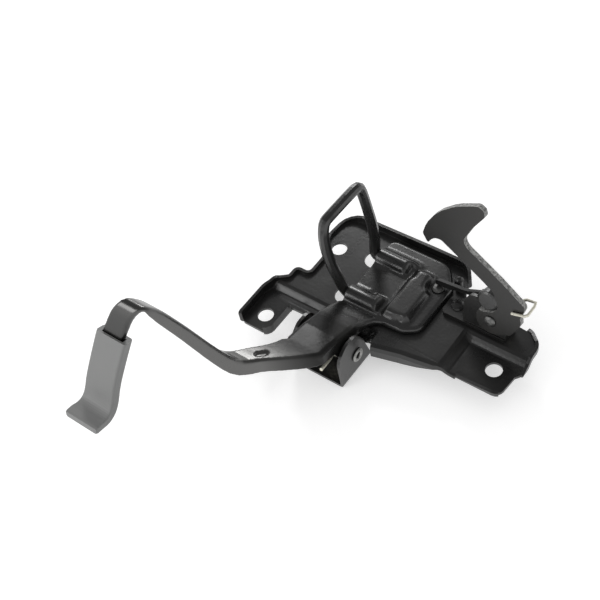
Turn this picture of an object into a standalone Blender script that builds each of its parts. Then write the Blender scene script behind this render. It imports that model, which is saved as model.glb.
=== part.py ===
"""Tailgate lock: striker loop on a sprung release lever, with a safety hook beside it.

Metres, +Z up. The origin is on the mounting face, at the centre of the left bolt hole.
X runs along the base plate, Y runs to its back, and the striker loop stands up along Z.
"""
import bpy
import bmesh
from math import acos, atan2, ceil, cos, hypot, pi, radians, sin, sqrt, tan
from mathutils import Matrix, Vector

NAME = "tailgate_lock"

# Fits
GAP = 0.0003
RUN = 0.0004

# Base plate: a stamping with bolt pads at two levels
BASE_GAUGE = 0.002
BOLT_HOLE = 0.0105
LEFT_HOLE = (0.0, 0.0)
REAR_HOLE = (0.0116, 0.0651)
RIGHT_HOLE = (0.144, 0.037)
FLOOR_RISE = 0.004
LEFT_RAMP = (0.0193, 0.0254)
BAND_RAMP = (0.066, 0.072)
PAD_RAMP_X = (0.1220, 0.1145)
PAD_RAMP_Y = (0.0465, 0.0528)
BASE_FOLD = 0.002
LEAST_WALL = 1.2
REAR_EDGE = 0.0925
RIGHT_END = 0.1612
LOBE_TOP = 0.0084
REAR_TOP = 0.0125
END_LIP = 0.0055
PAD_LIP = 0.0045
FRONT_SKIRT = 0.0075
SKIRT_FADE = (0.0900, 0.1250)
SKIRT_LEAST = 0.03
PAD_FADE = (0.1270, 0.1340)
REAR_FADE_X = (0.0, 0.0200)
REAR_FADE_Y = (0.0600, 0.0850)
END_FADE_Y = (0.0405, 0.0450)
END_FADE_X = (0.1440, 0.1560)
RAMP_STEPS = 4
WINDOW_X = (0.0385, 0.084)
WINDOW_Y = (0.0305, 0.078)
NOTCH_RADIUS = 0.0075

# Pivot bracket: a U of sheet below the front edge, which carries the lever
EAR_GAUGE = 0.002
EAR_RIGHT = 0.067
EAR_LEFT = 0.030
EAR_FRONT = -0.0118
EAR_BACK = 0.0178
EAR_TOP = 0.0182
EAR_BOTTOM = -0.0148
TONGUE_X = (0.0385, 0.0585)
TONGUE_Y = 0.0255
EAR_RELIEF = EAR_BACK - 0.0024

# Lever pivot
PIVOT_Y = 0.0052
PIVOT_Z = 0.0006
RIVET_SHANK = 0.0060
RIVET_BORE = 0.0042
RIVET_HEAD = 0.0094
HEAD_HEIGHT = 0.0012
BUSH_WALL = 0.0010
BUSH_FLANGE = 0.0130
BUSH_FLANGE_GAUGE = 0.0008
SPACER_WALL = 0.0016

# Lever stamping: striker carrier, wide plate and arm are one sheet
LEVER_GAUGE = 0.002
LEVER_FOLD = 0.0022
CARRIER_LEFT = 0.0405
CARRIER_RIGHT = 0.0945
CARRIER_FRONT = 0.0285
CARRIER_REAR = 0.0868
CARRIER_TOP = 0.0105
CARRIER_FLANGE = 0.0041
PLATE_LEFT = 0.0360
PLATE_RIGHT = 0.0625
PLATE_END = -0.0190
PLATE_RISE = ((0.0285, 0.0105), (0.0205, 0.0135), (0.0120, 0.0180), (-0.0036, 0.0235), (-0.0190, 0.0268))
PLATE_FLANGE = 0.0100
EAR_HALF = 0.0085
GRID = 0.0031
CHANNEL_HEIGHT = 0.0056
CHANNEL_END = 0.0635
CHANNEL_FADE = 0.0075
CHANNEL_FILLET = 0.14
CHANNEL_SPREAD = 1.55
DOME_CENTRE = (0.0705, 0.0485)
DOME_HALF = (0.0130, 0.0150)
DOME_HEIGHT = 0.0046
DOME_MIDDLE = 1.05
DOME_SLOPE = 0.34
FINE_STEP = 0.0003
SLOT = (0.0036, 0.0082)
SLOT_PLACE = (0.0330, -0.0385, 0.0312)
SLOT_TURN = radians(-42)
SLOT_TILT = radians(12)
SLOT_CUT = 0.0036

# Arm: the right edge of its web, its width along X and the depth of its flange
ARM_STATIONS = (
    (0.0535, -0.0284, 0.0285, 0.0215, 0.0100),
    (0.0404, -0.0399, 0.0310, 0.0175, 0.0098),
    (0.0300, -0.0500, 0.0345, 0.0150, 0.0096),
    (0.0235, -0.0572, 0.0480, 0.0150, 0.0088),
    (0.0140, -0.0665, 0.0750, 0.0150, 0.0080),
    (0.0092, -0.0745, 0.0955, 0.0150, 0.0072),
    (0.0076, -0.0790, 0.1030, 0.0150, 0.0054),
    (0.0058, -0.0825, 0.1065, 0.0150, 0.0037),
    (0.0040, -0.0855, 0.1066, 0.0150, 0.0027),
    (0.0016, -0.0882, 0.1040, 0.0150, 0.0027),
    (-0.0018, -0.0908, 0.0985, 0.0152, 0.0027),
    (-0.0050, -0.0930, 0.0915, 0.0153, 0.0027),
    (-0.0089, -0.0962, 0.0820, 0.0155, 0.0027),
    (-0.0122, -0.1020, 0.0690, 0.0155, 0.0027),
    (-0.0150, -0.1085, 0.0555, 0.0155, 0.0027),
    (-0.0160, -0.1122, 0.0480, 0.0157, 0.0027),
    (-0.0162, -0.1156, 0.0415, 0.0160, 0.0027),
    (-0.0160, -0.1193, 0.0373, 0.0166, 0.0027),
    (-0.0158, -0.1237, 0.0358, 0.0174, 0.0027),
    (-0.0156, -0.1282, 0.0366, 0.0184, 0.0027),
)
ARM_STEPS = 3
ARM_BEND = 6
GRIP_REACH = 0.1282

# Grip sleeve, moulded over the end of the arm
GRIP_FROM = 13
GRIP_WALL = 0.0017
GRIP_BACK = 0.0036
GRIP_LIP = 0.0052
GRIP_TIP_TRIM = 0.0004
GRIP_TAPER = 0.45
GRIP_SIDE = 0.0033
GRIP_SOFT = 0.0022

# Striker loop
LOOP_WIRE = 0.0070
LOOP_FRONT_Y = 0.0362
LOOP_REAR_Y = 0.0702
LOOP_TOP = 0.0722
LOOP_LEAD = 0.0590
CHANNEL_RADIUS = LOOP_WIRE/2 + LEVER_GAUGE + RUN

# Hook bracket, hook and pivot, laid out in a plane that leans back
LEAN = radians(10.0)
WALL_FOOT_Y = 0.0550
WALL_Z = 0.008
WALL_GAUGE = 0.0025
WALL_LEFT = 0.1115
WALL_RIGHT = 0.1410
FOOT_LEFT = 0.0965
FOOT_BACK = 0.0690
HOOK_GAUGE = 0.0036
HOOK_PIVOT = (0.1325, 0.0154)
HOOK_BOSS = 0.0096
HOOK_SWEEP = radians(13.5)
PIN_SHANK = 0.0064
PIN_HEAD = 0.0078
WASHER = 0.0008
WASHER_OUTER = 0.0130
STUD_PLACE = (0.1290, 0.0288)
STUD_HEAD = 0.0140
STUD_NECK = 0.0076
STUD_THICK = 0.0042
KICK_GAUGE = 0.0025
KICK_BOSS = 0.0085
KICK_TIP = 0.0845
SPRING_WIRE = 0.0018
HOOK_TURNS = 2
HOOK_LEG = (0.0060, -0.0101)
HOOK_EDGE = 0.1548
COIL_PITCH = 1.15
LEVER_TURNS = 4
LEVER_WIRE = 0.0022
LEVER_COIL_X = 0.0560
LEG_END = (-0.0215, 0.0138)
LEG_UPPER = (-0.0100, 0.0096)
LEG_LOWER = (-0.0020, -0.0102)

# Studs and rivets
LIFT_STUD = (0.0868, 0.0665)
LIFT_SHANK = 0.0050
LIFT_HEAD = 0.0080
LIFT_TOP = 0.0016
GUIDE_PIN = (0.0960, 0.0762)
GUIDE_SHANK = 0.0050
FOOT_RIVETS = ((0.1035, 0.0625), (0.1165, 0.0640))
FOOT_RIVET_SHANK = 0.0050
FOOT_RIVET_HEAD = 0.0085

BLACK = (0.010, 0.010, 0.011, 1.0)
GREY = (0.055, 0.056, 0.058, 1.0)
ZINC = (0.62, 0.58, 0.46, 1.0)
STEEL = (0.35, 0.35, 0.34, 1.0)
NYLON = (0.05, 0.05, 0.05, 1.0)


def start():
    """Empties the scene and makes the collections for parts and cutters."""
    for item in list(bpy.data.objects):
        bpy.data.objects.remove(item)
    made = []
    for title in (NAME, NAME + "_cutters"):
        group = bpy.data.collections.new(title)
        bpy.context.scene.collection.children.link(group)
        made.append(group)
    return made


PARTS, CUTTERS = start()


def material(title, colour, roughness, metallic):
    """A Principled material of its own for one part."""
    made = bpy.data.materials.new(title)
    made.use_nodes = True
    shader = made.node_tree.nodes["Principled BSDF"]
    shader.inputs["Base Color"].default_value = colour
    shader.inputs["Roughness"].default_value = roughness
    shader.inputs["Metallic"].default_value = metallic
    made.diffuse_color = colour
    return made


def keep(title, item, colour, roughness=0.4, metallic=0.0, axis=None):
    """Names a finished part, gives it a material and puts it in the parts collection."""
    item.name = title
    item.data.name = title
    item.data.materials.clear()
    item.data.materials.append(material(title, colour, roughness, metallic))
    for group in list(item.users_collection):
        group.objects.unlink(item)
    PARTS.objects.link(item)
    if axis is not None:
        item.parent = axis
        item.matrix_parent_inverse = axis.matrix_world.inverted()
    return item


def mesh_object(title, bm):
    """An object from a bmesh, shaded smooth with sharp folds."""
    mesh = bpy.data.meshes.new(title)
    bm.to_mesh(mesh)
    bm.free()
    mesh.shade_smooth()
    mesh.set_sharp_from_angle(angle=radians(35))
    item = bpy.data.objects.new(title, mesh)
    bpy.context.scene.collection.objects.link(item)
    return item


def baked(item):
    """The evaluated object as a new plain mesh object, with the old one removed."""
    bpy.context.view_layer.update()
    graph = bpy.context.evaluated_depsgraph_get()
    mesh = bpy.data.meshes.new_from_object(item.evaluated_get(graph))
    bm = bmesh.new()
    bm.from_mesh(mesh)
    bmesh.ops.remove_doubles(bm, verts=bm.verts, dist=0.00001)
    bm.to_mesh(mesh)
    bm.free()
    made = bpy.data.objects.new(item.name, mesh)
    made.matrix_world = item.matrix_world.copy()
    bpy.context.scene.collection.objects.link(made)
    bpy.data.objects.remove(item)
    return made


def boolean(item, cutter, operation="DIFFERENCE"):
    """Adds a Boolean modifier and files the cutter away."""
    step = item.modifiers.new(operation.lower(), "BOOLEAN")
    step.operation = operation
    step.object = cutter
    step.solver = "EXACT"
    for group in list(cutter.users_collection):
        group.objects.unlink(cutter)
    CUTTERS.objects.link(cutter)
    cutter.hide_render = True
    cutter.display_type = "WIRE"
    return item


def arc_points(centre, radius, start_angle, end_angle, count):
    """Points along an arc in the plane."""
    span = end_angle - start_angle
    return [(centre[0] + radius*cos(start_angle + span*i/count),
             centre[1] + radius*sin(start_angle + span*i/count)) for i in range(count + 1)]


def rounded(corners, step=radians(22.5)):
    """An outline of (x, y, radius) corners with each corner turned into an arc."""
    points = []
    total = len(corners)
    for i, (x, y, radius) in enumerate(corners):
        here = Vector((x, y))
        to_last = Vector(corners[i - 1][:2]) - here
        to_next = Vector(corners[(i + 1) % total][:2]) - here
        room = 0.48*min(to_last.length, to_next.length)
        to_last.normalize()
        to_next.normalize()
        opening = acos(max(-1.0, min(1.0, to_last.dot(to_next))))
        turn = pi - opening
        if radius <= 0.0 or turn < radians(4):
            points.append((x, y))
            continue
        reach = min(radius*tan(turn/2), room)
        radius = reach/tan(turn/2)
        middle = here + (to_last + to_next).normalized()*(radius/sin(opening/2))
        first = here + to_last*reach - middle
        last = here + to_next*reach - middle
        begin = atan2(first.y, first.x)
        sweep = atan2(last.y, last.x) - begin
        sweep = (sweep + pi) % (2*pi) - pi
        count = max(1, ceil(abs(sweep)/step - 0.01))
        points += arc_points(middle, radius, begin, begin + sweep, count)
    return points


def plate(title, outline, thickness, place=Matrix()):
    """A flat plate: its outline in local XY, its thickness centred on local Z."""
    curve = bpy.data.curves.new(title, "CURVE")
    curve.dimensions = "2D"
    curve.fill_mode = "BOTH"
    curve.extrude = thickness/2
    for ring in (outline if isinstance(outline[0], list) else [outline]):
        line = curve.splines.new("POLY")
        line.points.add(len(ring) - 1)
        for point, (x, y) in zip(line.points, ring):
            point.co = (x, y, 0.0, 1.0)
        line.use_cyclic_u = True
    item = bpy.data.objects.new(title, curve)
    bpy.context.scene.collection.objects.link(item)
    item.matrix_world = place
    return baked(item)


def turned(title, profile, place=Matrix(), steps=18):
    """A turned piece: its profile runs down the outer side, from the axis back to the axis or closed."""
    bm = bmesh.new()
    verts = [bm.verts.new((r, 0.0, h)) for r, h in profile]
    for a, b in zip(verts, verts[1:]):
        bm.edges.new((a, b))
    if profile[0][0] > 0.0:
        bm.edges.new((verts[-1], verts[0]))
    item = mesh_object(title, bm)
    spin = item.modifiers.new("spin", "SCREW")
    spin.steps = steps
    spin.render_steps = steps
    spin.use_merge_vertices = True
    spin.merge_threshold = 0.00001
    spin.use_smooth_shade = True
    item.matrix_world = place
    return item


def wire(title, points, diameter, sides=2):
    """A bent wire along the points, with closed ends."""
    curve = bpy.data.curves.new(title, "CURVE")
    curve.dimensions = "3D"
    curve.bevel_depth = diameter/2
    curve.bevel_resolution = sides
    curve.use_fill_caps = True
    line = curve.splines.new("POLY")
    line.points.add(len(points) - 1)
    for point, co in zip(line.points, points):
        point.co = (*co, 1.0)
    item = bpy.data.objects.new(title, curve)
    bpy.context.scene.collection.objects.link(item)
    return item


def coil(radius, start, end, turns, pitch, count=10):
    """A close coil wound clockwise about its axis, met on tangents from the start and end places."""
    begin = atan2(start[1], start[0]) - acos(radius/hypot(*start))
    leave = atan2(end[1], end[0]) + acos(radius/hypot(*end))
    sweep = (begin - leave) % (2*pi) + 2*pi*turns
    steps = ceil(sweep/(2*pi)*count)
    angles = [begin - sweep*i/steps for i in range(steps + 1)]
    return [(radius*cos(a), radius*sin(a), pitch*(begin - a)/(2*pi)) for a in angles]


def smooth_line(points, steps):
    """A Catmull-Rom line through points of any number of values."""
    ends = [tuple(2*a - b for a, b in zip(points[0], points[1]))]
    ends += list(points)
    ends.append(tuple(2*a - b for a, b in zip(points[-1], points[-2])))
    line = []
    for p0, p1, p2, p3 in zip(ends, ends[1:], ends[2:], ends[3:]):
        for i in range(steps):
            t = i/steps
            line.append(tuple(0.5*(2*b + (c - a)*t + (2*a - 5*b + 4*c - d)*t*t + (3*b - a - 3*c + d)*t**3)
                              for a, b, c, d in zip(p0, p1, p2, p3)))
    line.append(tuple(points[-1]))
    return line


def clamp(value):
    """A value kept between 0 and 1."""
    return max(0.0, min(1.0, value))


def ramp(value, ends):
    """0 at the first end, 1 at the second, straight between."""
    return clamp((value - ends[0])/(ends[1] - ends[0]))


def ease(value):
    """A smooth step from 0 to 1."""
    value = clamp(value)
    return value*value*(3 - 2*value)


def between(value, table):
    """Straight interpolation in a short table of (place, height) that runs either way."""
    rows = sorted(table)
    if value <= rows[0][0]:
        return rows[0][1]
    for (a, ha), (b, hb) in zip(rows, rows[1:]):
        if value <= b:
            return ha + (hb - ha)*(value - a)/(b - a)
    return rows[-1][1]


def steps_between(ends, count):
    """Evenly spaced places from the first end to the second."""
    return [ends[0] + (ends[1] - ends[0])*i/count for i in range(count + 1)]


def key(co):
    """A place as a dictionary key."""
    return tuple(round(c, 7) for c in co)


def sheet_face(outline, cuts_x, cuts_y):
    """A flat face of the outline, divided along lines of constant X and Y."""
    bm = bmesh.new()
    bm.faces.new([bm.verts.new((x, y, 0.0)) for x, y in outline])
    for place, normal in [((x, 0, 0), (1, 0, 0)) for x in cuts_x] + [((0, y, 0), (0, 1, 0)) for y in cuts_y]:
        geometry = bm.verts[:] + bm.edges[:] + bm.faces[:]
        bmesh.ops.bisect_plane(bm, geom=geometry, dist=0.000001, plane_co=place, plane_no=normal)
    bmesh.ops.remove_doubles(bm, verts=bm.verts, dist=0.0002)
    bmesh.ops.recalc_face_normals(bm, faces=bm.faces)
    if sum(f.normal.z for f in bm.faces) < 0:
        bmesh.ops.reverse_faces(bm, faces=bm.faces)
    return bm


def outward(edges):
    """For each vertex of some boundary edges, the direction in plan away from the sheet."""
    total = {}
    for edge in edges:
        loop = edge.link_loops[0]
        a, b = loop.vert.co, loop.link_loop_next.vert.co
        side = Vector((b.y - a.y, a.x - b.x, 0.0)).normalized()
        for vert in edge.verts:
            total.setdefault(key(vert.co), []).append(side)
    result = {}
    for place, sides in total.items():
        mean = sum(sides, Vector())
        if len(sides) == 2:
            mean *= min(1.0, 2/max(mean.length_squared, 0.5))
        result[place] = mean
    return result


def draw_lip(bm, edges, steps):
    """Extrudes boundary edges row by row. Each step gives (out, up) for a vertex's first place."""
    away = outward(edges)
    first = {place: Vector(place) for place in away}
    columns = {place: [] for place in away}
    for step in steps:
        made = bmesh.ops.extrude_edge_only(bm, edges=edges)["geom"]
        edges = [e for e in made if isinstance(e, bmesh.types.BMEdge)]
        moved = {}
        for vert in [v for v in made if isinstance(v, bmesh.types.BMVert)]:
            place = key(vert.co)
            home = first[place]
            start = key(home)
            out, up = step(home)
            side = away[start]
            vert.co = home + side*out + Vector((0, 0, up))
            moved[key(vert.co)] = home
            columns[start].append(vert)
        edges = [e for e in edges if all(key(v.co) in moved for v in e.verts)]
        first = moved
    return columns


def fold_steps(radius, height, sign):
    """Rows of a folded lip: a quarter bend and then a straight wall. A lip that turns down may run out."""
    def size(home):
        return radius if sign > 0 else min(radius, height(home)/LEAST_WALL)

    def bend(angle):
        return lambda home: (size(home)*sin(angle), sign*size(home)*(1 - cos(angle)))

    def wall(home):
        return size(home), sign*max(height(home), size(home)*LEAST_WALL)
    return [bend(radians(45)), bend(radians(90)), wall]


def boundary(bm, test):
    """The boundary edges whose middle passes the test."""
    return [e for e in bm.edges if e.is_boundary and test((e.verts[0].co + e.verts[1].co)/2)]


def solid_sheet(title, bm, gauge, offset):
    """A sheet with its thickness, on the chosen side."""
    bmesh.ops.recalc_face_normals(bm, faces=bm.faces)
    up = sum((f.normal.z*f.calc_area() for f in bm.faces), 0.0)
    if up < 0:
        bmesh.ops.reverse_faces(bm, faces=bm.faces)
    item = mesh_object(title, bm)
    step = item.modifiers.new("gauge", "SOLIDIFY")
    step.thickness = gauge
    step.offset = offset
    step.use_quality_normals = True
    return item


def axis_x(x, y, z):
    """Places a turned piece with its axis along X."""
    return Matrix.Translation((x, y, z)) @ Matrix.Rotation(pi/2, 4, "Y")


def cylinder(title, diameter, low, high, place=Matrix(), steps=24):
    """A plain cylinder between two heights, as a cutter."""
    bm = bmesh.new()
    bmesh.ops.create_cone(bm, cap_ends=True, segments=steps, radius1=diameter/2, radius2=diameter/2,
                          depth=high - low, matrix=Matrix.Translation((0, 0, (high + low)/2)))
    item = mesh_object(title, bm)
    item.matrix_world = place
    return item


# Base plate

def base_level(x, y):
    """Height of the base plate's underside above the mounting plane."""
    left = ease(ramp(y, LEFT_RAMP))
    band = ease(ramp(x, BAND_RAMP))
    if x < PAD_RAMP_X[1]:
        return FLOOR_RISE*(1 - (1 - left)*(1 - band))
    return FLOOR_RISE*(1 - (1 - ease(ramp(x, PAD_RAMP_X)))*(1 - ease(ramp(y, PAD_RAMP_Y))))


def base_outline():
    """Plan of the base plate, anticlockwise from the front corner of the left lobe."""
    fold = BASE_FOLD
    return rounded([
        (-0.0130 + fold, -0.0113, 0.003),
        (0.0104, -0.0113, 0.005),
        (0.0104, 0.0128, 0.0025),
        (EAR_LEFT - 0.0020, 0.0132, 0.0010),
        (EAR_LEFT - 0.0010, EAR_RELIEF, 0.0010),
        (EAR_RIGHT + 0.0012, EAR_RELIEF, 0.0010),
        (EAR_RIGHT + 0.0040, 0.0142, 0.0020),
        (0.0900, 0.0190, 0.010),
        (0.1180, 0.0232, 0.008),
        (0.1270, 0.0208 + fold, 0.004),
        (RIGHT_END - 0.0052, 0.0208 + fold, 0.005),
        (RIGHT_END - 0.0040, 0.0385, 0.0012),
        (RIGHT_END - fold, 0.0410, 0.0012),
        (RIGHT_END - fold, 0.0600, 0.008),
        (0.1500, 0.0708 - fold, 0.006),
        (0.1030, 0.0716, 0.004),
        (0.1003, 0.0800, 0.003),
        (0.0950 - fold, REAR_EDGE - fold, 0.011),
        (0.0010 + fold, REAR_EDGE - fold, 0.012),
        (-0.0008 + fold, 0.0710, 0.006),
        (0.0072 + fold, 0.0530, 0.006),
        (0.0072 + fold, 0.0385 - fold, 0.0045),
        (-0.0030 + fold, 0.0385 - fold, 0.0020),
        (-0.0030 + fold, 0.0290, 0.003),
        (-0.0100 + fold, 0.0235, 0.006),
        (-0.0130 + fold, 0.0150, 0.006),
    ])


def base_plate():
    """The stamped base plate with its lips, bolt holes and lever window."""
    cuts_x = steps_between(BAND_RAMP, RAMP_STEPS) + steps_between(PAD_RAMP_X, RAMP_STEPS)
    cuts_y = steps_between(LEFT_RAMP, RAMP_STEPS) + steps_between(PAD_RAMP_Y, RAMP_STEPS)
    bm = sheet_face(base_outline(), cuts_x, cuts_y)

    def rim(p):
        return (p.x < 0.0115 and p.y > -0.0105) or p.y > 0.0895 or (p.y > 0.0822 and p.x > 0.08)

    def end(p):
        return p.x > 0.1445 and p.y > 0.0420

    def pad(p):
        return p.x > 0.1285 and p.y < 0.0245

    def front(p):
        return 0.0722 < p.x < SKIRT_FADE[1] and p.y < 0.0245

    def rim_height(p):
        rise = ease(ramp(p.x, REAR_FADE_X))*ease(ramp(p.y, REAR_FADE_Y))
        return LOBE_TOP + (REAR_TOP - LOBE_TOP)*rise - base_level(p.x, p.y)

    def end_height(p):
        return END_LIP*ease(ramp(p.y, END_FADE_Y))*ramp(p.x, END_FADE_X)

    def pad_height(p):
        return PAD_LIP*ramp(p.x, PAD_FADE)

    def skirt(p):
        return FRONT_SKIRT*max(SKIRT_LEAST, 1 - ease(ramp(p.x, SKIRT_FADE)))

    runs = [(rim, rim_height, 1), (end, end_height, 1), (pad, pad_height, 1), (front, skirt, -1)]
    chosen = [(boundary(bm, test), height, sign) for test, height, sign in runs]
    for edges, height, sign in chosen:
        draw_lip(bm, edges, fold_steps(BASE_FOLD, height, sign))
    for vert in bm.verts:
        x, y = vert.co.x, vert.co.y
        vert.co.z += base_level(x, y)
    item = solid_sheet("base_plate", bm, BASE_GAUGE, 1.0)
    for i, (x, y) in enumerate((LEFT_HOLE, REAR_HOLE, RIGHT_HOLE)):
        boolean(item, cylinder("bolt_hole_%d" % i, BOLT_HOLE, -0.01, 0.03, Matrix.Translation((x, y, 0))))
    x0, x1 = WINDOW_X
    y0, y1 = WINDOW_Y
    reach = NOTCH_RADIUS
    window = [(x0, y0, 0.002), (x1, y0, 0.006), (x1, y1, 0.006), (x0, y1, 0.002)]
    boolean(item, plate("lever_window", rounded(window), 0.03))
    for i, y in enumerate((LOOP_FRONT_Y + 0.0005, LOOP_REAR_Y - 0.0005)):
        boolean(item, cylinder("loop_notch_%d" % i, 2*reach, -0.01, 0.03, Matrix.Translation((x0 - 0.001, y, 0))))
    guide = cylinder("guide_hole", GUIDE_SHANK + 2*GAP, -0.01, 0.03, Matrix.Translation((*GUIDE_PIN, 0)))
    boolean(item, guide)
    for i, (x, y) in enumerate(FOOT_RIVETS):
        hole = cylinder("foot_hole_%d" % i, FOOT_RIVET_SHANK + 2*GAP, -0.01, 0.03, Matrix.Translation((x, y, 0)))
        boolean(item, hole)
    return keep("base_plate", item, BLACK)


# Pivot bracket

def pivot_bracket():
    """The U bracket: an open section pulled along Y, trimmed to the ear's outline."""
    left, right = EAR_LEFT, EAR_RIGHT
    low = EAR_BOTTOM
    bend = 0.003
    inner = [(left, EAR_TOP, 0), (left, low, bend), (right, low, bend), (right, EAR_TOP, 0)]
    section = rounded(inner, radians(30))[::-1]
    bm = bmesh.new()
    rows = []
    for y in (EAR_FRONT, TONGUE_Y):
        rows.append([bm.verts.new((x, y, z)) for x, z in section])
    for a, b, c, d in zip(rows[0], rows[0][1:], rows[1], rows[1][1:]):
        bm.faces.new((a, b, d, c))
    bmesh.ops.recalc_face_normals(bm, faces=bm.faces)
    item = mesh_object("pivot_bracket", bm)
    middle = item.data.polygons[len(item.data.polygons)//2]
    step = item.modifiers.new("gauge", "SOLIDIFY")
    step.thickness = EAR_GAUGE
    step.offset = -1.0 if middle.normal.z < 0 else 1.0
    step.use_even_offset = True
    profile = [
        (EAR_FRONT, EAR_BOTTOM - 0.001, 0.0), (EAR_BACK, EAR_BOTTOM - 0.001, 0.0),
        (EAR_BACK, -0.0122, 0.002), (0.0128, 0.0080, 0.006), (0.0080, EAR_TOP - 0.0005, 0.008),
        (-0.0030, EAR_TOP, 0.007), (EAR_FRONT, 0.0110, 0.010),
    ]
    outline = [(y, z) for y, z in rounded(profile)]
    side = Matrix(((0, 0, 1, 0), (1, 0, 0, 0), (0, 1, 0, 0), (0, 0, 0, 1)))
    trim = plate("ear_outline", outline, 0.2, side)
    boolean(item, trim, "INTERSECT")
    item = baked(item)
    tongue = bracket_tongue()
    boolean(item, tongue, "UNION")
    bore = cylinder("bracket_bore", RIVET_SHANK + 2*GAP, 0.0, 0.2, axis_x(0, PIVOT_Y, PIVOT_Z))
    boolean(item, bore)
    return keep("pivot_bracket", item, BLACK)


def bracket_tongue():
    """The tongue at the back of the bracket, which rises to the base plate's underside."""
    x0, x1 = TONGUE_X
    g = EAR_GAUGE
    back = EAR_BACK - 0.001
    top = -GAP
    reach = LEFT_RAMP[0] - 0.0005
    profile = [
        (back - 0.006, EAR_BOTTOM, 0.0), (back + g, EAR_BOTTOM, 0.003), (back + g, top - g, 0.0005),
        (reach, top - g, 0.0), (reach, top, 0.0), (back - 0.0022, top, 0.001),
        (back, top - 0.002, 0.0005), (back, EAR_BOTTOM + g, 0.0005), (back - 0.006, EAR_BOTTOM + g, 0.0),
    ]
    side = Matrix(((0, 0, 1, (x0 + x1)/2), (1, 0, 0, 0), (0, 1, 0, 0), (0, 0, 0, 1)))
    return plate("tongue", rounded(profile), x1 - x0, side)


# Lever stamping

def channel_bump(x, y):
    """Height added by the two half tubes that hold the loop's ends, with a fillet at their feet."""
    fade = ease((CHANNEL_END + CHANNEL_FADE - x)/CHANNEL_FADE)
    height = 0.0
    for centre in (LOOP_FRONT_Y, LOOP_REAR_Y):
        across = abs(y - centre)/CHANNEL_RADIUS
        crown = sqrt(max(0.0, 1 - across*across))
        fillet = CHANNEL_FILLET*ease((CHANNEL_SPREAD - across)/(CHANNEL_SPREAD - 1))
        height = max(height, CHANNEL_HEIGHT*max(crown, fillet)*fade)
    return height


def dome_bump(x, y):
    """Height added by the flat-topped dome beside the half tubes."""
    cx, cy = DOME_CENTRE
    hx, hy = DOME_HALF
    reach = (abs((x - cx)/hx)**3 + abs((y - cy)/hy)**3)**(1/3)
    return DOME_HEIGHT*ease((DOME_MIDDLE + DOME_SLOPE/2 - reach)/DOME_SLOPE)


def lever_level(x, y):
    """Height of the lever sheet's top face."""
    if y < CARRIER_FRONT:
        return between(y, PLATE_RISE)
    away = ease((y - CARRIER_FRONT)/0.003)
    return CARRIER_TOP + max(channel_bump(x, y), dome_bump(x, y))*away


def lever_outline():
    """Plan of the flat part of the lever sheet, inside its folds."""
    f = LEVER_FOLD
    return rounded([
        (PLATE_LEFT + f, PLATE_END, 0.0),
        (PLATE_RIGHT - f, PLATE_END, 0.0),
        (PLATE_RIGHT - f, 0.0135, 0.004),
        (PLATE_RIGHT + 0.0035, CARRIER_FRONT + f - 0.0012, 0.007),
        (CARRIER_RIGHT - f - 0.008, CARRIER_FRONT + f, 0.006),
        (CARRIER_RIGHT - f, CARRIER_FRONT + f + 0.005, 0.005),
        (CARRIER_RIGHT - f, CARRIER_REAR - f - 0.014, 0.004),
        (CARRIER_RIGHT - f - 0.010, CARRIER_REAR - f, 0.010),
        (CARRIER_LEFT, CARRIER_REAR - f, 0.003),
        (CARRIER_LEFT, CARRIER_FRONT + 0.002, 0.004),
        (PLATE_LEFT + f, 0.0200, 0.006),
    ])


def lever_flange(p):
    """Depth of the down-turned flange at a place on the lever's outline."""
    if p.y > CARRIER_FRONT - 0.006:
        return CARRIER_FLANGE
    blend = ease((CARRIER_FRONT - 0.006 - p.y)/0.010)
    depth = CARRIER_FLANGE + (PLATE_FLANGE - CARRIER_FLANGE)*blend
    off = (p.y - PIVOT_Y)/EAR_HALF
    if abs(off) < 1.0:
        foot = PIVOT_Z - EAR_HALF*sqrt(1 - off*off)
        depth = max(depth, lever_level(p.x, p.y) - foot)
    return depth


def arm_rows():
    """The arm's stations, refined to smooth rows of (right edge, width, flange)."""
    first = (PLATE_RIGHT, PLATE_END, PLATE_RISE[-1][1], PLATE_RIGHT - PLATE_LEFT, PLATE_FLANGE)
    line = smooth_line((first,) + ARM_STATIONS, ARM_STEPS)
    longer = GRIP_REACH + ARM_STATIONS[-1][1]
    straight = PLATE_END - ARM_STATIONS[ARM_BEND][1]
    return [(Vector((x, y - longer*clamp((PLATE_END - y)/straight), z)), width, depth)
            for x, y, z, width, depth in line]


def row_frame(rows, i):
    """Unit vectors of a row: across the web, and out of its top face."""
    ahead = rows[min(i + 1, len(rows) - 1)][0] - rows[max(i - 1, 0)][0]
    across = Vector((1, 0, 0))
    if i == 0:
        return across, Vector((0, 0, 1))
    return across, across.cross(-ahead).normalized()


def row_points(rows, i, web_count):
    """Places across one row of the arm, from the left edge to the flange's foot."""
    right, width, depth = rows[i]
    across, normal = row_frame(rows, i)
    start = right - across*width
    end = right - across*LEVER_FOLD
    points = [start.lerp(end, k/(web_count - 1)) for k in range(web_count)]
    for angle in (radians(45), radians(90)):
        points.append(end + across*LEVER_FOLD*sin(angle) - normal*LEVER_FOLD*(1 - cos(angle)))
    points.append(right - normal*max(depth, LEVER_FOLD*LEAST_WALL))
    return points


def add_arm(bm, front, column):
    """Carries the web's front edge and the flange's end along the arm."""
    rows = arm_rows()
    web = sorted(front, key=lambda v: v.co.x)
    chain = web + column
    for i in range(1, len(rows)):
        points = row_points(rows, i, len(web))
        edges = [bm.edges.get((a, b)) for a, b in zip(chain, chain[1:])]
        made = bmesh.ops.extrude_edge_only(bm, edges=edges)["geom"]
        fresh = {key(v.co): v for v in made if isinstance(v, bmesh.types.BMVert)}
        chain = [fresh[key(v.co)] for v in chain]
        for vert, co in zip(chain, points):
            vert.co = co


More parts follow.
